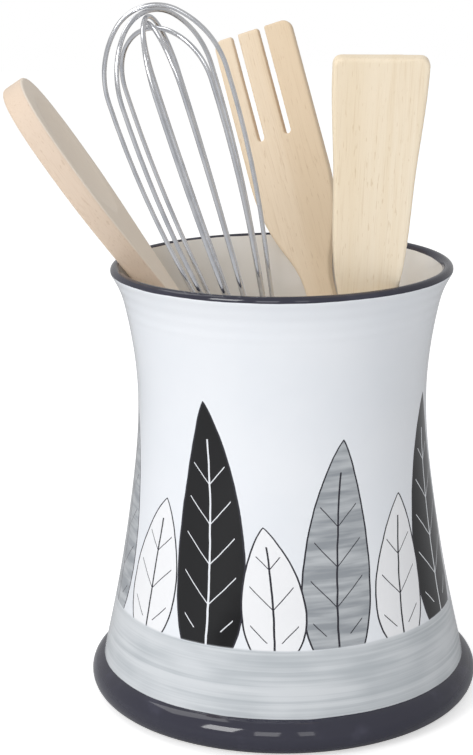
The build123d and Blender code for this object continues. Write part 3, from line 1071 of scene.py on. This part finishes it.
    def handle(self) -> Piece:
        """Turn the hollow handle."""
        middle = (self.tube_base + self.tube_top) / 2
        outer = arc_through((self.handle_end_radius, self.tube_base), (self.handle_grip_radius, middle),
                            (self.handle_top_radius, self.tube_top), self.handle_steps)
        inner = [(radius - self.tube_wall, height) for radius, height in reversed(outer)]
        return self.turned_piece("whisk_grip", outer + inner + outer[:1])

    def cap(self) -> Piece:
        """Turn the cap at the handle's end."""
        nose = arc_line((self.cap_nose_radius - self.cap_nose_chamfer, self.cap_base + self.cap_nose_chamfer),
                        self.cap_nose_chamfer, -90, self.cap_nose_turn, self.cap_nose_steps)
        spigot = self.handle_end_radius - self.tube_wall - self.fit_gap
        spigot_top = self.tube_base + self.cap_spigot
        outline = [(0, self.cap_base)] + nose
        outline += [(self.handle_end_radius, self.tube_base), (spigot, self.tube_base), (spigot, spigot_top),
                    (0, spigot_top)]
        return self.turned_piece("whisk_cap", outline)

    def dress(self, piece: Piece, node: str, finish: Material) -> None:
        """Give a piece its finish and let it stand for its node.

        Args:
            piece: The piece.
            node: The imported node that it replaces.
            finish: Its material.
        """
        piece.data.materials.append(finish)
        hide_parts(node)
        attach(piece, "whisk")
        LOG.info("built %s for %s", piece.name, node)

    def build(self) -> None:
        """Make every piece of the whisk."""
        for index in range(len(self.loop_angles)):
            self.dress(self.wire(index), f"whisk_wire_{index + 1}", self.wire_finish)
        self.dress(self.hanging_loop(), "whisk_hanging_loop", self.wire_finish)
        self.dress(self.handle(), "whisk_handle", self.body_finish)
        self.dress(self.cap(), "whisk_end_cap", self.body_finish)
        plug = frame["nodes"]["whisk_wire_plug"]
        plug.data.materials.clear()
        plug.data.materials.append(self.body_finish)


@dataclass(frozen=True)
class SoftLamp:
    """A soft lamp of the studio.

    Attributes:
        name: The lamp's name.
        place: Where it stands.
        aim: The point that it looks at.
        size: Its width and height.
        power: Its power in watts.
    """

    name: str
    place: tuple
    aim: tuple
    size: tuple
    power: float

    def build(self) -> None:
        """Hang the lamp."""
        data = bpy.data.lights.new(self.name, "AREA")
        data.shape = "RECTANGLE"
        data.size, data.size_y = self.size
        data.energy = self.power
        lamp = bpy.data.objects.new(self.name, data)
        lamp.location = self.place
        lamp.rotation_euler = (Vector(self.aim) - Vector(self.place)).to_track_quat("-Z", "Y").to_euler()
        bpy.context.scene.collection.objects.link(lamp)


@dataclass
class Studio:
    """The floor, the lamps, the white surroundings and the camera.

    The camera sees white surroundings. Mirrored is how bright they are in reflections, and ambient how much
    they light the object.
    """

    floor_half: float = 3.0
    floor_colour: Colour = paint(240, 240, 240)
    floor_glow: float = 0.55
    floor_mirrored: Colour = paint(200, 201, 203)
    floor_roughness: float = 0.9
    ambient: float = 0.57
    mirrored: float = 0.50
    photo_height: int = 755
    focal_pixels: float = 1899.0
    sensor: float = 36.0
    camera_place: tuple = (-0.0203, -0.8226, 0.3584)
    camera_pitch: float = 75.44
    camera_roll: float = -0.577
    lamps: tuple = (
        SoftLamp("left_window", (-0.95, -1.15, 0.95), (0, 0, 0.12), (0.55, 0.75), 9.2),
        SoftLamp("rear_window", (-0.33, -1.75, 0.80), (0, 0, 0.05), (0.45, 0.8), 2.5),
        SoftLamp("rear_window_side", (0.37, -1.75, 0.80), (0, 0, 0.05), (0.28, 0.8), 1.1),
        SoftLamp("overhead", (-0.62, 0.15, 1.15), (0, 0, 0.18), (0.6, 0.6), 2.0),
    )

    def background(self) -> None:
        """Surround the object with white for the camera, less bright in reflections and as light."""
        world = bpy.data.worlds.new("white_studio")
        bpy.context.scene.world = world
        world.use_nodes = True
        graph = Graph(world.node_tree)
        sky = world.node_tree.nodes["Background"]
        path = graph.node("LightPath").outputs
        seen = graph.math("MAXIMUM", path["Is Camera Ray"], path["Is Transmission Ray"])
        strength = graph.math("MULTIPLY_ADD", seen, 1.0 - self.ambient, self.ambient)
        strength = graph.math("MULTIPLY_ADD", path["Is Glossy Ray"], self.mirrored - self.ambient, strength)
        graph.fill(sky, {"Color": WHITE, "Strength": strength})

    def floor(self) -> None:
        """Lay the pale floor."""
        mesh = bmesh.new()
        bmesh.ops.create_grid(mesh, x_segments=1, y_segments=1, size=self.floor_half)
        ground = finish_mesh(mesh, "studio_floor", ALL_SMOOTH)
        material, graph, shader = new_material("pale_floor")
        path = graph.node("LightPath").outputs
        colour = graph.mix(path["Is Glossy Ray"], self.floor_colour, self.floor_mirrored)
        glow = graph.product(path["Is Camera Ray"], self.floor_glow)
        graph.fill(shader, {"Base Color": colour, "Roughness": self.floor_roughness, "Emission Color": WHITE,
                            "Emission Strength": glow})
        ground.data.materials.append(material)

    def camera(self) -> None:
        """Set up the camera where the photograph was taken from."""
        data = bpy.data.cameras.new("photo_camera")
        data.sensor_fit = "VERTICAL"
        data.sensor_height = self.sensor
        data.lens = self.focal_pixels / self.photo_height * self.sensor
        data.dof.use_dof = False
        camera = bpy.data.objects.new("photo_camera", data)
        pitch = Matrix.Rotation(math.radians(self.camera_pitch), 4, "X")
        roll = Matrix.Rotation(math.radians(self.camera_roll), 4, "Z")
        camera.matrix_world = Matrix.Translation(self.camera_place) @ pitch @ roll
        bpy.context.scene.collection.objects.link(camera)
        bpy.context.scene.camera = camera

    def build(self) -> None:
        """Set up the whole studio."""
        bpy.context.scene.view_settings.view_transform = "Standard"
        self.background()
        self.floor()
        for lamp in self.lamps:
            lamp.build()
        self.camera()


TOOLS = (
    WoodenTool("wooden_spoon", "spoon", 0.0,
               Beech("beech_spoon", paint(240, 222, 205), paint(229, 208, 187), paint(202, 176, 150),
                     # The spoon's face colour is a painted lit face, paler to stand in for the light that
                     # falls on it.
                     face=paint(255, 248, 236))),
    WoodenTool("wooden_fork", "fork", 258.0,
               Beech("beech_fork", paint(241, 222, 196), paint(231, 209, 179), paint(201, 172, 137))),
    WoodenTool("wooden_turner", "turner", 272.2,
               Beech("beech_turner", paint(250, 236, 213), paint(241, 223, 194), paint(214, 188, 150))),
)


def main() -> None:
    """Build the crock, its tools and the studio."""
    logging.basicConfig(level=logging.INFO)
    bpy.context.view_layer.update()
    jar = Crock().build()
    LOG.info("built %s", jar.name)
    for tool in TOOLS:
        LOG.info("built %s", tool.build().name)
    Whisk().build()
    Studio().build()


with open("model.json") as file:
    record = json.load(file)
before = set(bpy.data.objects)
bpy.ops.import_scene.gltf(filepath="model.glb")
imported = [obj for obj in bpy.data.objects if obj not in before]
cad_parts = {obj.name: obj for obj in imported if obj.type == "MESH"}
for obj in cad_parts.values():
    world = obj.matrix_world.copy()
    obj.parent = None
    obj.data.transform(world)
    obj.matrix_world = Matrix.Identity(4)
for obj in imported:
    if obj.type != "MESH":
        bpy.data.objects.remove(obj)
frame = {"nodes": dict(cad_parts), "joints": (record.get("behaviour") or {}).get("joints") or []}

if __name__ == "__main__":
    main()
